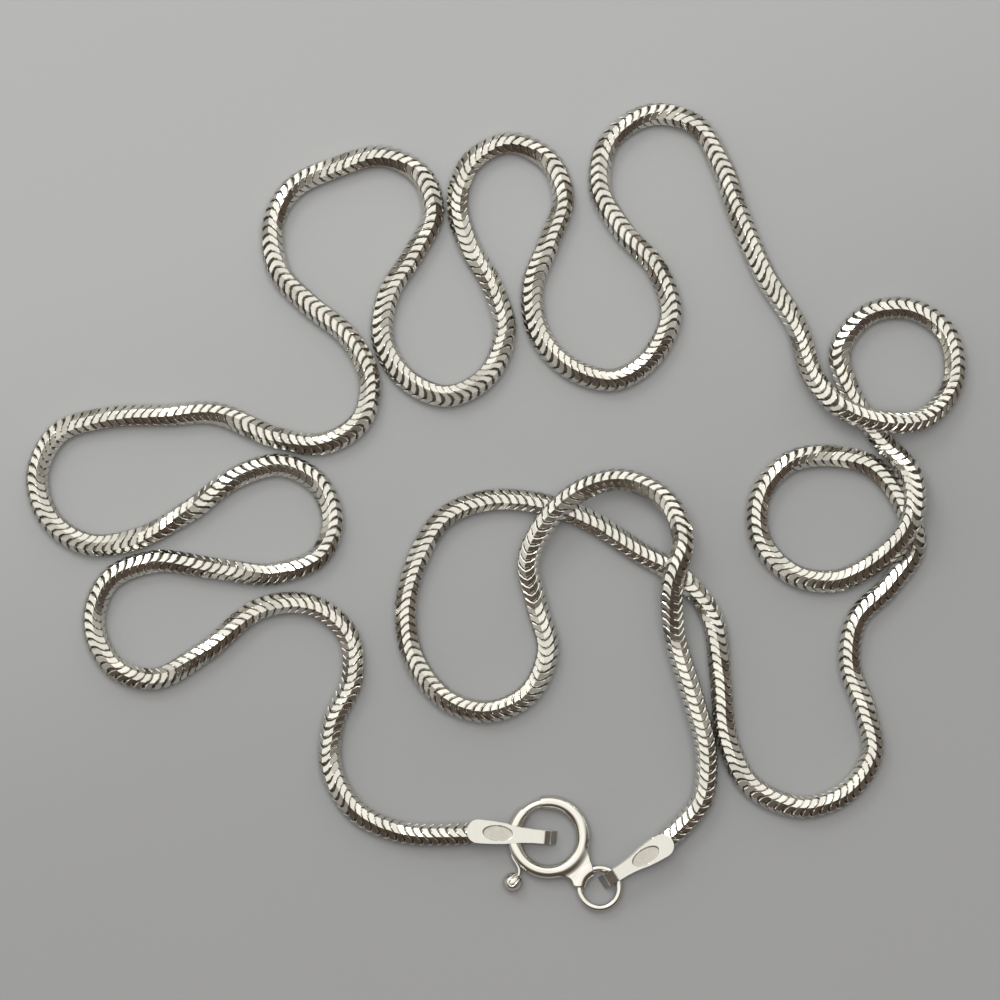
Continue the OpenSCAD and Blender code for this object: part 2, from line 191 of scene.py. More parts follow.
class ClaspSizes(bpy.types.PropertyGroup):
    centre: FloatVectorProperty(
        name="Ring Centre", description="Where the bolt ring's axis stands, and its height",
        default=(3.9 * MM, -24.3028 * MM, 0.8 * MM), subtype="TRANSLATION", unit="LENGTH", precision=5)
    ring_d: length_setting("Ring Diameter", "Outer diameter of the bolt ring", 6.1)
    tube_d: length_setting("Tube Diameter", "Outer diameter of the ring's tube", 1.0)
    bore_d: length_setting("Bore", "Inner diameter of the ring's tube", 0.76)
    bolt_d: length_setting("Bolt Diameter", "Diameter of the bolt that slides in the tube", 0.68)
    mouth_from: angle_setting("Mouth Start", "Angle at which the ring's mouth starts", 102)
    mouth_over: angle_setting("Mouth Angle", "Angle that the ring's mouth opens over", 32)
    lug_turn: angle_setting(
        "Lug Direction", "Direction of the lug, seen from the ring's axis", -45)
    eye_reach: length_setting(
        "Eye Reach", "Distance from the ring's axis to the middle of the eye", 3.8)
    eye_d: length_setting(
        "Eye Diameter", "Outer diameter of the eye that is bent round the wire", 1.0)
    eye_hole: length_setting("Eye Hole", "Diameter of the hole in the eye", 0.64)
    eye_from: angle_setting(
        "Eye Start", "Angle at which the eye starts, seen from the jump ring's middle", 108)
    eye_over: angle_setting("Eye Angle", "Angle that the eye wraps the jump ring's wire over", 70)
    foot_angle: angle_setting(
        "Foot Angle", "Angle that the lug's foot spans to each side of its middle", 29)
    waist_w: length_setting("Waist", "Width of the lug at its waist", 2.0)
    web_h: length_setting("Lug Height", "Height of the lug between the tube and the eye", 0.8)
    knob_d: length_setting("Ball Diameter", "Diameter of the ball that a nail pulls back", 1.35)
    knob_reach: length_setting(
        "Ball Reach", "Distance from the ring's axis to the ball's middle", 4.2)
    knob_turn: angle_setting(
        "Ball Direction", "Direction of the ball, seen from the ring's axis", 231)
    bar_w: length_setting("Bar Width", "Width of the bar that carries the ball", 0.28)
    jump_d: length_setting("Jump Ring Diameter", "Outer diameter of the jump ring", 3.4)
    jump_wire: length_setting("Jump Ring Wire", "Diameter of the jump ring's wire", 0.48)


class StageSettings(bpy.types.PropertyGroup):
    camera_far: FloatProperty(
        name="Camera Distance", description="Distance from the camera to the necklace",
        default=350 * MM, unit="LENGTH")
    camera_tilt: angle_setting("Camera Tilt", "How far the camera leans from straight overhead", 3)
    view_w: FloatProperty(
        name="View Width", description="Width of the surface that the camera sees",
        default=73.5 * MM, unit="LENGTH")
    floor_w: FloatProperty(
        name="Floor Width", description="Width of the surface that the necklace lies on",
        default=3.0, unit="LENGTH")
    floor_colour: FloatVectorProperty(
        name="Floor Colour", description="Colour of the surface", subtype="COLOR",
        default=(0.245, 0.2475, 0.2475), min=0, max=1)
    key_power: FloatProperty(
        name="Key Power", description="Strength of the large soft light", default=0.35, unit="POWER")
    fill_power: FloatProperty(
        name="Fill Power", description="Strength of the overhead light that the metal doesn't mirror",
        default=2.2, unit="POWER")


class SilverColours(bpy.types.PropertyGroup):
    bright: FloatVectorProperty(
        name="Silver", description="Colour of polished silver", subtype="COLOR",
        default=(0.915, 0.9, 0.835), min=0, max=1)
    satin: FloatVectorProperty(
        name="Satin", description="Colour of the tags' brushed silver", subtype="COLOR",
        default=(0.81, 0.805, 0.755), min=0, max=1)
    # Gap colour: partly tarnish and partly painted shade of the deep gaps between the links
    gap: FloatVectorProperty(
        name="Gap", description="Colour of the dulled silver between the links", subtype="COLOR",
        default=(0.1, 0.092, 0.065), min=0, max=1)
    stamped: FloatVectorProperty(
        name="Stamped", description="Colour of the matt floor of the tags' oval recess", subtype="COLOR",
        default=(0.74, 0.72, 0.65), min=0, max=1)


class Wire:
    """A shader socket that can stand in a sum, so that 1 - mask adds a Math node."""

    def __init__(self, tree, socket=None):
        self.tree = tree
        self.socket = socket

    def node(self, kind, settings, inputs, out=0):
        """Adds a node, sets its settings and then its inputs, and returns one of its outputs."""
        made = self.tree.nodes.new("ShaderNode" + kind)
        for name, value in settings.items():
            if name == "stops":
                set_stops(made.color_ramp, value)
            else:
                setattr(made, name, value)
        for name, value in inputs.items():
            if isinstance(value, Wire):
                self.tree.links.new(value.socket, made.inputs[name])
            else:
                made.inputs[name].default_value = value
        return Wire(self.tree, made.outputs[out] if made.outputs else None)

    def math(self, operation, first, second):
        return self.node("Math", {"operation": operation}, {0: first, 1: second})

    def __add__(self, other):
        return self.math("ADD", self, other)

    def __radd__(self, other):
        return self.math("ADD", other, self)

    def __sub__(self, other):
        return self.math("SUBTRACT", self, other)

    def __rsub__(self, other):
        return self.math("SUBTRACT", other, self)

    def __mul__(self, other):
        return self.math("MULTIPLY", self, other)

    def __rmul__(self, other):
        return self.math("MULTIPLY", other, self)


def set_stops(ramp, stops):
    """Gives a colour ramp its stops, each a place and a colour."""
    while len(ramp.elements) < len(stops):
        ramp.elements.new(1)
    for element, (place, colour) in zip(ramp.elements, stops):
        element.position = place
        element.color = tone(colour)


def new_material(name):
    """An empty material, its first wire and the place of each point on the piece."""
    material = bpy.data.materials.new(name)
    material.use_nodes = True
    tree = material.node_tree
    tree.nodes.clear()
    start = Wire(tree)
    return material, start, start.node("TexCoord", {}, {}, out="Object")


def finish_surface(start, inputs, height=None, bump=0.0, depth=0.0):
    """Ends a material in a Principled surface, with a height for its bump if there is one."""
    if height is not None:
        relief = {"Strength": bump, "Distance": depth, "Height": height}
        inputs["Normal"] = start.node("Bump", {}, relief)
    # Metal gets a painted shade on its steep sides and edges, from the dark steep tint
    if inputs.get("Metallic"):
        inputs["Specular Tint"] = STEEP_SHADE_TINT
    surface = start.node("BsdfPrincipled", {}, inputs)
    start.node("OutputMaterial", {}, {"Surface": surface})


def colour_mix(start, share, first, second):
    sockets = {MIX_SHARE: share, MIX_FIRST: first, MIX_SECOND: second}
    return start.node("Mix", {"data_type": "RGBA"}, sockets, out=MIX_COLOUR)


def smooth_step(start, value, low, high):
    """A share that rises gently from 0 at the low value to 1 at the high one."""
    sockets = {RANGE_VALUE: value, RANGE_FROM: low, RANGE_TO: high}
    return start.node("MapRange", {"interpolation_type": "SMOOTHSTEP"}, sockets)


def noise(start, place, scale, detail):
    return start.node("TexNoise", {}, {"Vector": place, "Scale": scale, "Detail": detail})


def tone(colour, share=1.0):
    """A share of a colour, with its alpha."""
    return (*[part * share for part in colour], 1)


def silver(name, colour, rough, spread):
    """Polished silver: clouded wear in its tint and gloss, and faint rubs that run one way."""
    material, start, place = new_material(name)
    cloud = noise(start, place, scale=900.0, detail=4.0)
    fine = noise(start, place, scale=3000.0, detail=3.0)
    stretch = {"Vector": place, "Rotation": (0, 0, 0.6), "Scale": (9000, 500, 900)}
    rubs = noise(start, start.node("Mapping", {}, stretch), scale=1.0, detail=2.0)
    tint = colour_mix(start, cloud, tone(colour, share=0.93), tone(colour))
    matt = rough + spread * (cloud - 0.5) + spread * (rubs - 0.5)
    inputs = {"Base Color": tint, "Metallic": 1.0, "Roughness": matt}
    finish_surface(start, inputs, height=fine + rubs, bump=0.15, depth=0.004 * MM)
    return material


def stamped_silver(colours):
    """The matt, pressed floor of an oval recess."""
    material, start, place = new_material("stamped_silver")
    cloud = noise(start, place, scale=4000.0, detail=4.0)
    tint = colour_mix(start, cloud, tone(colours.stamped, share=0.7), tone(colours.stamped))
    inputs = {"Base Color": tint, "Metallic": 0.9, "Roughness": 0.35 + 0.25 * cloud}
    finish_surface(start, inputs, height=cloud, bump=0.5, depth=0.02 * MM)
    return material


def chain_silver(colours):
    """The links' cut flats: each link has its own tint and gloss, from the attribute shade."""
    material, start, place = new_material("chain_silver")
    shade = start.node("Attribute", {"attribute_name": "shade"}, {}, out="Fac")
    cloud = noise(start, place, scale=2500.0, detail=3.0)
    mask = shade * 0.6 + cloud * 0.4
    tint = colour_mix(start, mask, tone(colours.bright, share=0.78), tone(colours.bright))
    matt = 0.08 + 0.08 * shade + 0.08 * cloud
    inputs = {"Base Color": tint, "Metallic": 1.0, "Roughness": matt}
    finish_surface(start, inputs, height=cloud, bump=0.2, depth=0.006 * MM)
    return material


def gap_silver(colours):
    """The rims and the core, dulled where no cloth reaches: dark partly as tarnish and partly as painted
    shade of the deep gaps between the links.
    """
    material, start, place = new_material("gap_silver")
    cloud = noise(start, place, scale=1500.0, detail=3.0)
    tint = colour_mix(start, cloud, tone(colours.gap, share=0.6), tone(colours.gap))
    matt = 0.5 + 0.2 * cloud
    inputs = {"Base Color": tint, "Metallic": 0.0, "Roughness": matt, "Specular IOR Level": 0.12}
    finish_surface(start, inputs)
    return material


def floor_finish(settings):
    """The pale, faintly mottled and slightly glossy surface, with painted light that makes it lighter
    towards its far left.
    """
    material, start, place = new_material("pale_surface")
    cloud = noise(start, place, scale=60.0, detail=6.0)
    grain = noise(start, place, scale=2500.0, detail=3.0)
    across = start.node("SeparateXYZ", {}, {"Vector": place}, out="X")
    along = start.node("SeparateXYZ", {}, {"Vector": place}, out="Y")
    # Painted light fall-off: lighter towards the far left, darker towards the near right, mixed with the
    # real mottle
    far = smooth_step(start, along - 0.35 * across, low=-20 * MM, high=34 * MM)
    mottle_and_painted_falloff = 0.1 * cloud + 0.1 * grain + 0.9 * far
    colour = settings.floor_colour
    tint = colour_mix(start, mottle_and_painted_falloff, tone(colour, share=0.78), tone(colour, share=1.05))
    inputs = {"Base Color": tint, "Roughness": 0.42 + 0.08 * cloud}
    finish_surface(start, inputs, height=grain, bump=0.1, depth=0.02 * MM)
    return material


def pick_none():
    if bpy.context.object and bpy.context.object.mode != "OBJECT":
        bpy.ops.object.mode_set(mode="OBJECT")
    bpy.ops.object.select_all(action="DESELECT")


def pick(obj):
    pick_none()
    obj.select_set(True)
    bpy.context.view_layer.objects.active = obj


def choose(obj, kind, test):
    """Selects the vertices, edges or faces, in edit mode, that pass a test."""
    bpy.ops.mesh.select_mode(type=kind)
    bpy.ops.mesh.select_all(action="DESELECT")
    shape = bmesh.from_edit_mesh(obj.data)
    for part in {"VERT": shape.verts, "EDGE": shape.edges, "FACE": shape.faces}[kind]:
        if test(part):
            part.select_set(True)
    shape.select_flush_mode()
    bmesh.update_edit_mesh(obj.data)


def face_outwards():
    bpy.ops.mesh.select_all(action="SELECT")
    bpy.ops.mesh.normals_make_consistent(inside=False)


def spline_point(places, i, share):
    """A place on the smooth curve through four neighbours, with knots at the roots of their gaps."""
    before, here, there, after = (places[i + k] for k in range(4))
    knots = [0.0]
    for a, b in ((before, here), (here, there), (there, after)):
        knots.append(knots[-1] + (b - a).length ** 0.5)
    at = knots[1] + (knots[2] - knots[1]) * share

    def mix(a, b, low, high):
        return a.lerp(b, (at - knots[low]) / (knots[high] - knots[low]))

    middle = mix(here, there, 1, 2)
    first = mix(mix(before, here, 0, 1), middle, 0, 2)
    second = mix(middle, mix(there, after, 2, 3), 1, 3)
    return mix(first, second, 1, 2)


def route_place(row, height):
    """Where a row of the route stands in the frame, at a height."""
    return Vector(((row[0] - ROUTE_MIDDLE[0]) * MM, (row[1] - ROUTE_MIDDLE[1]) * MM, height))


def chain_line(radius):
    """Closely spaced places along the chain's middle line, and the row of the route at each."""
    last = len(ROUTE) - 1
    rows = []
    for i, row in enumerate(ROUTE):
        lift = TAG_LIFT if i <= 1 or i >= last - 1 else row[2] * PASS_LIFT
        rows.append(route_place(row, lift + radius))
    places = [2 * rows[0] - rows[1], *rows, 2 * rows[-1] - rows[-2]]
    highest = max(place.z for place in rows)
    steps = 16
    line = []
    for i in range(last):
        for k in range(steps):
            point = spline_point(places, i, k / steps)
            point.z = min(max(point.z, radius), highest)
            line.append((point, i + k / steps))
    line.append((rows[-1], last))
    return line


def link_places(sizes):
    """Where each link stands: its middle, the direction of the chain there, and its roll."""
    line = chain_line(sizes.corner_d / 2)
    points = np.array([point for point, row in line])
    rows = np.array([row for point, row in line])
    gone = np.concatenate([[0], np.cumsum(np.linalg.norm(np.diff(points, axis=0), axis=1))])
    count = int(gone[-1] / sizes.pitch)
    at = (np.arange(count) + 0.5) * gone[-1] / count
    half = sizes.pitch / 2
    middle = np.stack([np.interp(at, gone, points[:, k]) for k in range(3)], axis=1)
    ahead = np.stack([np.interp(at + half, gone, points[:, k]) for k in range(3)], axis=1)
    behind = np.stack([np.interp(at - half, gone, points[:, k]) for k in range(3)], axis=1)
    roll = np.interp(np.interp(at, gone, rows), *np.array(ROLL, float).T)
    return middle, ahead - behind, np.radians(roll)


def model_link(sizes):
    """One link: an eight-sided band with bevelled edges that wave twice round, and sloping walls."""
    pick_none()
    bpy.ops.mesh.primitive_cylinder_add(
        vertices=8, radius=sizes.corner_d / 2, depth=sizes.band, end_fill_type="NOTHING")
    link = bpy.context.object
    link.name = "link"
    bpy.ops.object.mode_set(mode="EDIT")
    choose(link, "EDGE", lambda e: abs(e.verts[0].co.z - e.verts[1].co.z) < TINY)
    bpy.ops.mesh.subdivide(number_cuts=1)
    half = sizes.band / 2
    outer = 1 - 2 * sizes.bevel / sizes.corner_d
    inner = (1 - 2 * sizes.wall / sizes.corner_d) / outer
    for side in (-1, 1):
        choose(link, "EDGE", lambda e: all(v.co.z * side > half - TINY for v in e.verts))
        bpy.ops.mesh.extrude_region_move(TRANSFORM_OT_translate={"value": (0, 0, side * sizes.bevel)})
        bpy.ops.transform.resize(value=(outer, outer, 1), center_override=(0, 0, 0))
        bpy.ops.mesh.extrude_region_move(
            TRANSFORM_OT_translate={"value": (0, 0, -side * (half + sizes.bevel))})
        bpy.ops.transform.resize(value=(inner, inner, 1), center_override=(0, 0, 0))
    bpy.ops.mesh.select_all(action="SELECT")
    bpy.ops.mesh.remove_doubles(threshold=TINY)
    # The wave's height is the cosine of twice the angle, which takes these values round the band
    near = 0.01
    for height in (-1, -math.sqrt(0.5), math.sqrt(0.5), 1):
        choose(link, "VERT", lambda v: abs(math.cos(2 * math.atan2(v.co.y, v.co.x)) - height) < near)
        bpy.ops.transform.translate(value=(0, 0, height * sizes.wave))
    face_outwards()
    bpy.ops.object.mode_set(mode="OBJECT")
    return link


def lay_links(link, sizes):
    """Joins copies of the link, one at each place, into one mesh, and gives each its own shade."""
    shape = np.array([v.co for v in link.data.vertices])
    faces = np.array([list(p.vertices) for p in link.data.polygons])
    # Faces deeper than this take gap_silver, which is dark partly with painted shade
    polished = sizes.wall * 0.45
    outer = [p.center.xy.length > sizes.corner_d / 2 - polished for p in link.data.polygons]
    middle, along, roll = link_places(sizes)
    draw = random.Random(LINK_SEED)
    points = []
    shades = []
    for spot, way, turn in zip(middle, along, roll):
        lean = [draw.uniform(-sizes.tilt, sizes.tilt) for _ in range(3)]
        ahead = Vector(way).normalized()
        side = Vector((0, 0, 1)).cross(ahead).normalized()
        stand = Matrix((side, ahead.cross(side), ahead)).transposed()
        stand = stand @ Matrix.Rotation(turn + lean[2], 3, "Z")
        stand = stand @ Matrix.Rotation(lean[0], 3, "X") @ Matrix.Rotation(lean[1], 3, "Y")
        points.append(shape @ np.array(stand).T + spot)
        shades.append(draw.random())
    count = len(middle)
    step = np.arange(count)[:, None, None] * len(shape)
    mesh = bpy.data.meshes.new("chain_links")
    mesh.from_pydata(np.concatenate(points), [], (faces[None] + step).reshape(-1, 4).tolist())
    mesh.polygons.foreach_set("material_index", np.tile(np.where(outer, 0, 1), count))
    shade = mesh.attributes.new("shade", "FLOAT", "FACE")
    shade.data.foreach_set("value", np.repeat(shades, len(faces)))
    links = bpy.data.objects.new("chain_links", mesh)
    bpy.context.scene.collection.objects.link(links)
    return links


def model_core(sizes):
    """The inside of the chain, which closes the gaps between its links."""
    # Every third place of the line is close enough, and the core reaches a little into the walls
    every = 3
    depth = sizes.wall * 0.8
    line = [point for point, row in chain_line(sizes.corner_d / 2)][::every]
    curve = bpy.data.curves.new("core", "CURVE")
    curve.dimensions = "3D"
    spline = curve.splines.new("POLY")
    spline.points.add(len(line) - 1)
    for knot, place in zip(spline.points, line):
        knot.co = (*place, 1)
    curve.bevel_depth = sizes.corner_d / 2 - depth
    curve.bevel_resolution = 2
    curve.use_fill_caps = True
    core = bpy.data.objects.new("core", curve)
    bpy.context.scene.collection.objects.link(core)
    pick(core)
    bpy.ops.object.convert(target="MESH")
    # The core takes gap_silver, which is dark partly with painted shade
    for face in core.data.polygons:
        face.material_index = 1
    return core


class NECKLACE_OT_chain(bpy.types.Operator):
    """Model one link, lay its copies along the route and join them round a core"""
    bl_idname = "necklace.chain"
    bl_label = "Snake Chain"

    def execute(self, context):
        sizes = context.scene.chain_sizes
        colours = context.scene.silver_colours
        link = model_link(sizes)
        chain = lay_links(link, sizes)
        bpy.data.objects.remove(link)
        core = model_core(sizes)
        materials = (chain_silver(colours), gap_silver(colours))
        for piece in (chain, core):
            for material in materials:
                piece.data.materials.append(material)
        pick(chain)
        core.select_set(True)
        bpy.ops.object.join()
        chain.name = "snake_chain"
        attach(chain, "root")
        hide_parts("chain")
        return {"FINISHED"}


def polar(radius, angle):
    return Vector((radius * math.cos(angle), radius * math.sin(angle), 0))


def softened(obj, name, width=0.0, segments=2):
    """Names a piece, rounds its sharp edges where a width is given, and shades it smooth."""
    pick(obj)
    obj.name = name
    if width:
        bevel = obj.modifiers.new("soft_edges", "BEVEL")
        bevel.width = width
        bevel.segments = segments
        bevel.limit_method = "ANGLE"
        bevel.angle_limit = math.radians(60)
        bpy.ops.object.modifier_apply(modifier=bevel.name)
    bpy.ops.object.shade_smooth_by_angle(angle=math.radians(35))
    return obj


def place_at(obj, place, turn=0.0):
    """Turns a piece about the vertical and moves it, and applies both to its mesh."""
    pick(obj)
    obj.rotation_euler = (0, 0, turn)
    obj.location = place
    bpy.ops.object.transform_apply(location=True, rotation=True, scale=True)


def dress(obj, body, node, materials):
    for material in materials:
        obj.data.materials.append(material)
    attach(obj, body)
    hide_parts(node)


def rounded(corners, radius):
    """A line through the corners with each inner corner rounded off."""
    steps = 5
    line = [corners[0]]
    for before, corner, after in zip(corners, corners[1:], corners[2:]):
        start = corner + (before - corner).normalized() * radius
        end = corner + (after - corner).normalized() * radius
        for k in range(steps + 1):
            share = k / steps
            line.append(start.lerp(corner, share).lerp(corner.lerp(end, share), share))
    return [*line, corners[-1]]


def strip_line(tag, flat, nose):
    """The outer face of a folded strip, seen from the side, from its round end and back again."""
    quarter_turn = [math.radians(6 * k) for k in range(16)]
    oval_step = 0.03 * MM
    fold_step = 0.12 * MM
    bend_r = 0.13 * MM
    drop = nose * math.tan(tag.slope)
    foot = nose + tag.foot_run
    face = [-flat + tag.head_w / 2 * (1 - math.cos(turn)) for turn in quarter_turn]
    while face[-1] < -flat + tag.oval_inset + tag.oval_l + 2 * oval_step:
        face.append(face[-1] + oval_step)
    bends = rounded([
        Vector((face[-1], tag.height)), Vector((0, tag.height)), Vector((nose, tag.height - drop)),
        Vector((foot, 0)), Vector((-flat + tag.head_w / 2, 0))], bend_r)
    fold = []
    for here, there in zip(bends, bends[1:]):
        parts = max(1, round((there - here).length / fold_step))
        fold += [here.lerp(there, k / parts) for k in range(parts)]
    end = [Vector((-flat + tag.head_w / 2 * (1 - math.sin(turn)), 0)) for turn in quarter_turn]
    return [Vector((x, tag.height)) for x in face[:-1]] + fold + end


def strip_half_width(tag, flat, x):
    """Half the strip's width at a distance from its fold."""
    if x > 0:
        return tag.neck_w / 2
    from_end = x + flat
    shares = [row[0] for row in TAPER]
    full = np.interp(-x / flat, shares, [row[1] for row in TAPER])
    half = tag.neck_w / 2 + (tag.head_w - tag.neck_w) / 2 * full
    radius = tag.head_w / 2
    if from_end < radius:
        half = min(half, math.sqrt(max(radius ** 2 - (radius - from_end) ** 2, 0)))
    return half


def model_tag(name, tag, flat, nose):
    """A flat strip folded back under itself, with an oval recess pressed into its upper face."""
    line = strip_line(tag, flat, nose)
    pick_none()
    bpy.ops.mesh.primitive_grid_add(x_subdivisions=len(line) - 1, y_subdivisions=56, size=2)
    strip = bpy.context.object
    for vertex in strip.data.vertices:
        column = round((vertex.co.x + 1) / 2 * (len(line) - 1))
        x, z = line[column]
        vertex.co = (x, vertex.co.y * strip_half_width(tag, flat, x), z)
    bpy.ops.object.mode_set(mode="EDIT")
    bpy.ops.mesh.select_all(action="SELECT")
    bpy.ops.mesh.remove_doubles(threshold=TINY)
    face_outwards()
    bpy.ops.object.mode_set(mode="OBJECT")
    wall = strip.modifiers.new("wall", "SOLIDIFY")
    wall.thickness = tag.strip_t
    wall.offset = -1
    wall.use_even_offset = True
    bpy.ops.object.modifier_apply(modifier=wall.name)
    press_oval(strip, tag, flat)
    return softened(strip, name, width=0.05 * MM)


def press_oval(strip, tag, flat):
    """Presses the recess down with soft walls, and gives its floor the second material."""
    middle = -flat + tag.oval_inset + tag.oval_l / 2
    # Share of the way from the oval's edge to its middle that its wall takes
    soft = 0.1

    def reach(place):
        return math.hypot((place.x - middle) / (tag.oval_l / 2), place.y / (tag.oval_w / 2))

    for vertex in strip.data.vertices:
        if vertex.co.z > tag.height - TINY:
            share = min(max((1 - reach(vertex.co)) / soft, 0), 1)
            vertex.co.z -= tag.oval_depth * share * share * (3 - 2 * share)
    for face in strip.data.polygons:
        if face.center.z > tag.height - 2 * tag.oval_depth and reach(face.center) < 1 - soft / 2:
            face.material_index = 1


def spun(outline, start, over, steps):
    """Spins an upright outline about the vertical axis, from one angle over another, and closes it."""
    pick(outline)
    outline.rotation_euler.z = start
    bpy.ops.object.transform_apply(location=True, rotation=True, scale=True)
    bpy.ops.object.mode_set(mode="EDIT")
    bpy.ops.mesh.select_all(action="SELECT")
    bpy.ops.mesh.spin(steps=steps, angle=-over, center=(0, 0, 0), axis=(0, 0, 1))
    bpy.ops.mesh.select_all(action="SELECT")
    bpy.ops.mesh.remove_doubles(threshold=TINY)
    bpy.ops.mesh.fill_holes(sides=0)
    face_outwards()
    bpy.ops.object.mode_set(mode="OBJECT")
    return outline


def round_outline(radius, reach):
    """An upright circle at a distance from the vertical axis, with its origin on that axis."""
    pick_none()
    bpy.ops.mesh.primitive_circle_add(
        vertices=24, radius=radius, location=(reach, 0, 0), rotation=(math.pi / 2, 0, 0))
    outline = bpy.context.object
    bpy.ops.object.transform_apply(location=True, rotation=True, scale=True)
    return outline


def square_outline(near, far, height):
    """An upright rectangle between two distances from the vertical axis."""
    pick_none()
    bpy.ops.mesh.primitive_circle_add(
        vertices=4, radius=math.sqrt(0.5), rotation=(math.pi / 2, math.pi / 4, 0))
    outline = bpy.context.object
    bpy.ops.object.transform_apply(location=True, rotation=True, scale=True)
    outline.scale = (far - near, 1, height)
    outline.location.x = (near + far) / 2
    bpy.ops.object.transform_apply(location=True, rotation=True, scale=True)
    return outline


def cut_away(obj, cutter):
    """Takes one closed shape out of another."""
    pick(obj)
    cut = obj.modifiers.new("cut", "BOOLEAN")
    cut.operation = "DIFFERENCE"
    cut.solver = "EXACT"
    cut.object = cutter
    bpy.ops.object.modifier_apply(modifier=cut.name)
    bpy.data.objects.remove(cutter)


def smoothed_torus(reach, radius, turns, corners):
    """A torus that the subdivision brings to its size: coarse, and larger by what that takes off."""
    swell = 3 / (2 + math.cos(math.tau / corners))
    pick_none()
    bpy.ops.mesh.primitive_torus_add(
        major_radius=reach, minor_radius=radius * swell, major_segments=turns, minor_segments=corners)
    return bpy.context.object


def subdivide(obj):
    pick(obj)
    fine = obj.modifiers.new("fine", "SUBSURF")
    fine.levels = 2
    fine.render_levels = 2
    bpy.ops.object.modifier_apply(modifier=fine.name)


def lug_place(clasp, layer, share):
    """A place on a layer of the lug, in the lug's own directions, for a share of the way across it."""
    jump_r = (clasp.jump_d - clasp.jump_wire) / 2
    edge = clasp.ring_d / 2
    # How far off the ring the foot and the waist are, and what share of their spans they take there
    foot_off = 0.09 * MM
    foot_share = 0.86
    waist_off = 0.3 * MM
    waist_share = 0.47
    if layer < 0.5:
        return polar(edge + foot_off, share * clasp.foot_angle * foot_share)
    if layer < 1:
        return Vector((edge + waist_off, share * clasp.waist_w * waist_share, 0))
    reach = jump_r + (1.5 - layer) * clasp.eye_d
    middle = clasp.eye_from - clasp.lug_turn + clasp.eye_over / 2
    return Vector((clasp.eye_reach + jump_r, 0, 0)) + polar(reach, middle - share * clasp.eye_over / 2)


def pull_lug(ring, clasp):
    """Pulls the lug out of the torus's outer faces, layer by layer, to an eye bent round the wire."""
    # The faces that the lug grows from: half their span round the ring, and how far out they start
    half_foot = math.radians(30)
    past_middle = clasp.tube_d * 0.18
    # Share of a layer's height that the subdivision leaves
    height_left = 0.9

    def turn_of(place):
        return (math.atan2(place.y, place.x) - clasp.lug_turn + math.pi) % math.tau - math.pi

    def at_lug(face):
        centre = face.calc_center_median()
        outer = centre.xy.length > (clasp.ring_d - clasp.tube_d) / 2 + past_middle
        return abs(turn_of(centre)) < half_foot and outer

    bpy.ops.object.mode_set(mode="EDIT")
    choose(ring, "FACE", at_lug)
    shape = bmesh.from_edit_mesh(ring.data)
    across = shape.verts.layers.float.new("across")
    height = shape.verts.layers.float.new("height")
    for vertex in shape.verts:
        vertex[across] = turn_of(vertex.co) / half_foot
        vertex[height] = vertex.co.z / (clasp.tube_d / 2)
    bmesh.update_edit_mesh(ring.data)
    for layer, tall in LUG_LAYERS:
        bpy.ops.mesh.extrude_region_move()
        shape = bmesh.from_edit_mesh(ring.data)
        across = shape.verts.layers.float.get("across")
        height = shape.verts.layers.float.get("height")
        for vertex in shape.verts:
            if vertex.select:
                place = lug_place(clasp, layer, vertex[across])
                place.rotate(Matrix.Rotation(clasp.lug_turn, 3, "Z"))
                rise = vertex[height] * tall * clasp.web_h / 2 / height_left
                vertex.co = place + Vector((0, 0, rise))
        bmesh.update_edit_mesh(ring.data)
    for name in ("across", "height"):
        shape.verts.layers.float.remove(shape.verts.layers.float.get(name))
    face_outwards()
    bpy.ops.object.mode_set(mode="OBJECT")


def model_ring(clasp):
    """The tube bent to a ring, with its lug, its mouth, its bore and the slot for the bolt's bar."""
    reach = (clasp.ring_d - clasp.tube_d) / 2
    ring = smoothed_torus(reach, clasp.tube_d / 2, turns=48, corners=12)
    pull_lug(ring, clasp)
    subdivide(ring)
    # How far the bore runs on past the mouth, and the hole past the eye
    past = math.radians(11)
    bore = round_outline(clasp.bore_d / 2, reach)
    cut_away(ring, spun(bore, clasp.mouth_from - past, BORE_END - clasp.mouth_from + past, steps=64))
    mouth = square_outline(reach - clasp.tube_d, reach + clasp.tube_d, height=clasp.tube_d * 1.2)
    cut_away(ring, spun(mouth, clasp.mouth_from, clasp.mouth_over, steps=12))
    slot = square_outline(reach, reach + clasp.tube_d, height=SLOT_W)
    cut_away(ring, spun(slot, SLOT_FROM, SLOT_OVER, steps=32))
    jump_r = (clasp.jump_d - clasp.jump_wire) / 2
    hole = round_outline(clasp.eye_hole / 2, jump_r)
    spun(hole, clasp.eye_from - past, clasp.eye_over + 2 * past, steps=40)
    place_at(hole, polar(clasp.eye_reach + jump_r, clasp.lug_turn))
    cut_away(ring, hole)
    place_at(ring, clasp.centre)
    return softened(ring, "bolt_ring")


def model_ball(clasp):
    """The ball, with a groove pressed round the end of its bar, in its upper half."""
    radius = clasp.knob_d / 2
    groove_out = 0.2 * MM
    groove_back = 0.08 * MM
    groove_w = 0.045 * MM
    groove_depth = 0.06 * MM
    outward = polar(1, clasp.knob_turn)
    pick_none()
    bpy.ops.mesh.primitive_uv_sphere_add(segments=144, ring_count=96, radius=radius)
    ball = bpy.context.object
    for vertex in ball.data.vertices:
        along = min(max(vertex.co.dot(-outward), -groove_back), clasp.knob_d)
        gap = (vertex.co.xy - (-outward * along).xy).length
        if vertex.co.z > 0:
            dent = groove_depth * math.exp(-((gap - groove_out) / groove_w) ** 2)
            vertex.co *= 1 - dent / radius
    place_at(ball, outward * clasp.knob_reach)
    return softened(ball, "ball")


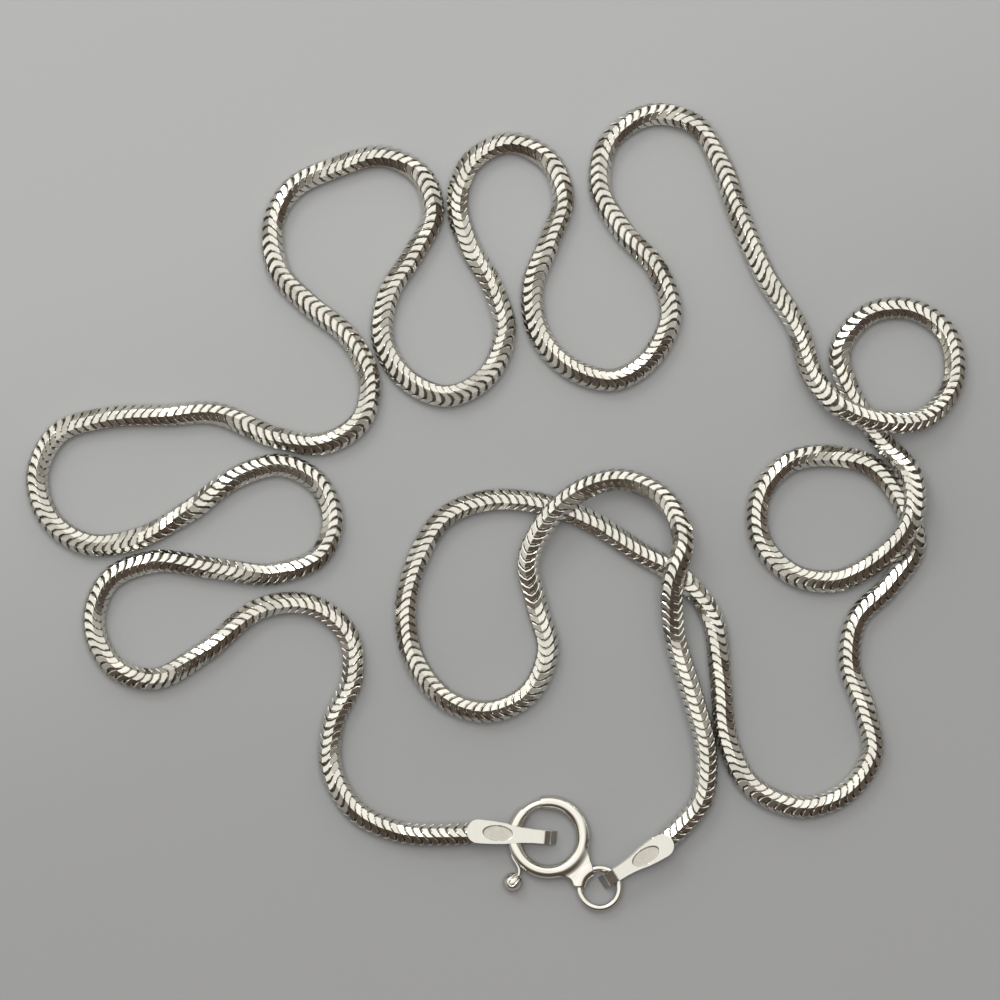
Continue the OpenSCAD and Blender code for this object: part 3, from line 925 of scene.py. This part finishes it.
def model_bolt(clasp):
    """The bolt in the tube, the bar that leaves it through the slot, and the ball on the bar."""
    reach = (clasp.ring_d - clasp.tube_d) / 2
    past_mouth = math.radians(6)
    bend_out = 0.36 * MM
    sunk = 0.1 * MM
    bolt = round_outline(clasp.bolt_d / 2, reach)
    spun(bolt, clasp.mouth_from - past_mouth, BAR_FROM - clasp.mouth_from + past_mouth, steps=40)
    softened(bolt, "bolt", width=0.12 * MM, segments=3)
    ball = model_ball(clasp)
    bar = model_bar([
        polar(reach, BAR_FROM), polar(reach + bend_out, BAR_BEND),
        polar(clasp.knob_reach - clasp.knob_d / 2 - sunk, clasp.knob_turn),
        polar(1, clasp.knob_turn) * clasp.knob_reach], clasp.bar_w)
    pick(bolt)
    ball.select_set(True)
    bar.select_set(True)
    bpy.ops.object.join()
    place_at(bolt, clasp.centre)
    return bolt


def model_bar(places, width):
    """A round bar through a few places, on a smooth curve."""
    curve = bpy.data.curves.new("bar", "CURVE")
    curve.dimensions = "3D"
    spline = curve.splines.new("BEZIER")
    spline.bezier_points.add(len(places) - 1)
    for knot, place in zip(spline.bezier_points, places):
        knot.co = place
        knot.handle_left_type = "AUTO"
        knot.handle_right_type = "AUTO"
    curve.resolution_u = 12
    curve.bevel_depth = width / 2
    curve.bevel_resolution = 4
    curve.use_fill_caps = True
    bar = bpy.data.objects.new("bar", curve)
    bpy.context.scene.collection.objects.link(bar)
    pick(bar)
    bpy.ops.object.convert(target="MESH")
    bpy.ops.object.mode_set(mode="EDIT")
    face_outwards()
    bpy.ops.object.mode_set(mode="OBJECT")
    return softened(bar, "bar")


def model_jump_ring(clasp):
    """The closed ring of round wire."""
    reach = (clasp.jump_d - clasp.jump_wire) / 2
    ring = smoothed_torus(reach, clasp.jump_wire / 2, turns=32, corners=8)
    subdivide(ring)
    out = clasp.eye_reach + reach
    place_at(ring, Vector(clasp.centre) + polar(out, clasp.lug_turn))
    return softened(ring, "jump_ring_wire")


class NECKLACE_OT_tags(bpy.types.Operator):
    """Model the two folded end tags"""
    bl_idname = "necklace.tags"
    bl_label = "End Tags"

    def execute(self, context):
        tag = context.scene.tag_sizes
        colours = context.scene.silver_colours
        brushed = silver("tag_silver", colours.satin, rough=0.2, spread=0.14)
        materials = (brushed, stamped_silver(colours))
        ends = (
            ("left", ROUTE[0], tag.left_flat, tag.left_nose, tag.left_turn),
            ("right", ROUTE[-1], tag.right_flat, tag.right_nose, tag.right_turn))
        for side, end, flat, nose, turn in ends:
            strip = model_tag(side + "_tag", tag, flat, nose)
            place_at(strip, route_place(end, 0) + polar(flat - tag.grip, turn), turn)
            dress(strip, "root", "end_tag_" + side, materials)
        return {"FINISHED"}


class NECKLACE_OT_clasp(bpy.types.Operator):
    """Model the bolt ring, its bolt with bar and ball, and the jump ring"""
    bl_idname = "necklace.clasp"
    bl_label = "Clasp"

    def execute(self, context):
        clasp = context.scene.clasp_sizes
        bright = context.scene.silver_colours.bright
        # How each piece is made, its body, node and slot, and its silver's roughness and spread
        pieces = (
            (model_ring, "root", "clasp_ring", "clasp_silver", 0.1, 0.08),
            (model_bolt, "bolt", "clasp_bolt", "bolt_silver", 0.24, 0.1),
            (model_jump_ring, "root", "jump_ring", "wire_silver", 0.12, 0.08))
        for model, body, node, slot, rough, spread in pieces:
            dress(model(clasp), body, node, [silver(slot, bright, rough, spread)])
        return {"FINISHED"}


class NECKLACE_OT_stage(bpy.types.Operator):
    """Set up the camera, the lights and the pale surface"""
    bl_idname = "necklace.stage"
    bl_label = "Stage"

    def execute(self, context):
        settings = context.scene.stage_settings
        self.add_camera(context, settings)
        self.add_floor(settings)
        self.add_sky(context)
        self.add_lights(settings)
        context.scene.view_settings.view_transform = "Standard"
        return {"FINISHED"}

    def add_camera(self, context, settings):
        aim = Vector((0.33, 0.43, 0.8)) * MM
        tilt = settings.camera_tilt
        back = Vector((0, -math.sin(tilt), math.cos(tilt))) * settings.camera_far
        sensor_w = 36
        pick_none()
        bpy.ops.object.camera_add(location=aim + back, rotation=(tilt, 0, 0))
        camera = context.object
        camera.data.sensor_width = sensor_w
        camera.data.lens = sensor_w * settings.camera_far / settings.view_w
        camera.data.clip_start = 0.01
        camera.data.clip_end = 20
        context.scene.camera = camera

    def add_floor(self, settings):
        pick_none()
        bpy.ops.mesh.primitive_plane_add(size=settings.floor_w)
        floor = bpy.context.object
        floor.name = "floor"
        floor.data.materials.append(floor_finish(settings))

    def add_sky(self, context):
        """Surroundings that are bright on the lit side high up, and dim and even lower down."""
        lit_side = (-0.3, 0.83, 0.47)
        sky_stops = [
            (0.0, (0.075, 0.045, 0.038)), (0.5, (0.09, 0.07, 0.055)), (0.58, (0.42, 0.4, 0.37)),
            (0.68, (1.0, 0.98, 0.93)), (1.0, (1.15, 1.13, 1.08))]
        low_near = (0.15, 0.12, 0.105)
        low_far = (0.26, 0.245, 0.22)
        world = bpy.data.worlds.new("studio")
        context.scene.world = world
        world.use_nodes = True
        world.node_tree.nodes.clear()
        start = Wire(world.node_tree)
        way = start.node("TexCoord", {}, {}, out="Generated")
        ways = {0: way, 1: lit_side}
        lit = start.node("VectorMath", {"operation": "DOT_PRODUCT"}, ways, out=DOT_VALUE)
        cloud = noise(start, way, scale=2.2, detail=2.0)
        sky = start.node("ValToRGB", {"stops": sky_stops}, {"Fac": 0.5 + 0.5 * lit})
        up = start.node("SeparateXYZ", {}, {"Vector": way}, out="Z")
        high = smooth_step(start, up, low=0.1, high=0.36)
        north = start.node("SeparateXYZ", {}, {"Vector": way}, out="Y")
        level = colour_mix(start, 0.5 + 0.5 * north, tone(low_near), tone(low_far))
        tint = colour_mix(start, high, level, sky)
        glow = start.node("Background", {}, {"Color": tint, "Strength": 0.55 + 0.9 * cloud})
        start.node("OutputWorld", {}, {"Surface": glow})

    def add_lights(self, settings):
        self.add_panel("key", place=(-0.14, 0.2, 0.3), size=0.12, power=settings.key_power)
        fill = self.add_panel("fill", place=(0, 0.05, 0.5), size=0.3, power=settings.fill_power)
        fill.visible_glossy = False

    def add_panel(self, name, place, size, power):
        pick_none()
        bpy.ops.object.light_add(type="AREA", location=place)
        lamp = bpy.context.object
        lamp.name = name
        lamp.data.shape = "SQUARE"
        lamp.data.size = size
        lamp.data.energy = power
        lamp.rotation_euler = (-Vector(place)).to_track_quat("-Z", "Y").to_euler()
        return lamp


class NECKLACE_PT_panel(bpy.types.Panel):
    bl_label = "Snake Chain Necklace"
    bl_idname = "NECKLACE_PT_panel"
    bl_space_type = "VIEW_3D"
    bl_region_type = "UI"
    bl_category = "Necklace"

    def draw(self, context):
        for operator in OPERATORS:
            self.layout.operator(operator.bl_idname)
        for group in SETTINGS:
            values = getattr(context.scene, group)
            for name in values.bl_rna.properties.keys():
                if name not in ("rna_type", "name"):
                    self.layout.prop(values, name)


OPERATORS = (NECKLACE_OT_stage, NECKLACE_OT_chain, NECKLACE_OT_tags, NECKLACE_OT_clasp)
SETTINGS = {
    "chain_sizes": ChainSizes, "tag_sizes": TagSizes, "clasp_sizes": ClaspSizes,
    "stage_settings": StageSettings, "silver_colours": SilverColours}


def register():
    for group in SETTINGS.values():
        bpy.utils.register_class(group)
    for operator in OPERATORS:
        bpy.utils.register_class(operator)
    bpy.utils.register_class(NECKLACE_PT_panel)
    for name, group in SETTINGS.items():
        setattr(bpy.types.Scene, name, PointerProperty(type=group))


def unregister():
    for name in SETTINGS:
        delattr(bpy.types.Scene, name)
    bpy.utils.unregister_class(NECKLACE_PT_panel)
    for operator in OPERATORS:
        bpy.utils.unregister_class(operator)
    for group in SETTINGS.values():
        bpy.utils.unregister_class(group)


def main():
    register()
    bpy.ops.necklace.stage()
    bpy.ops.necklace.chain()
    bpy.ops.necklace.tags()
    bpy.ops.necklace.clasp()


if __name__ == "__main__":
    main()
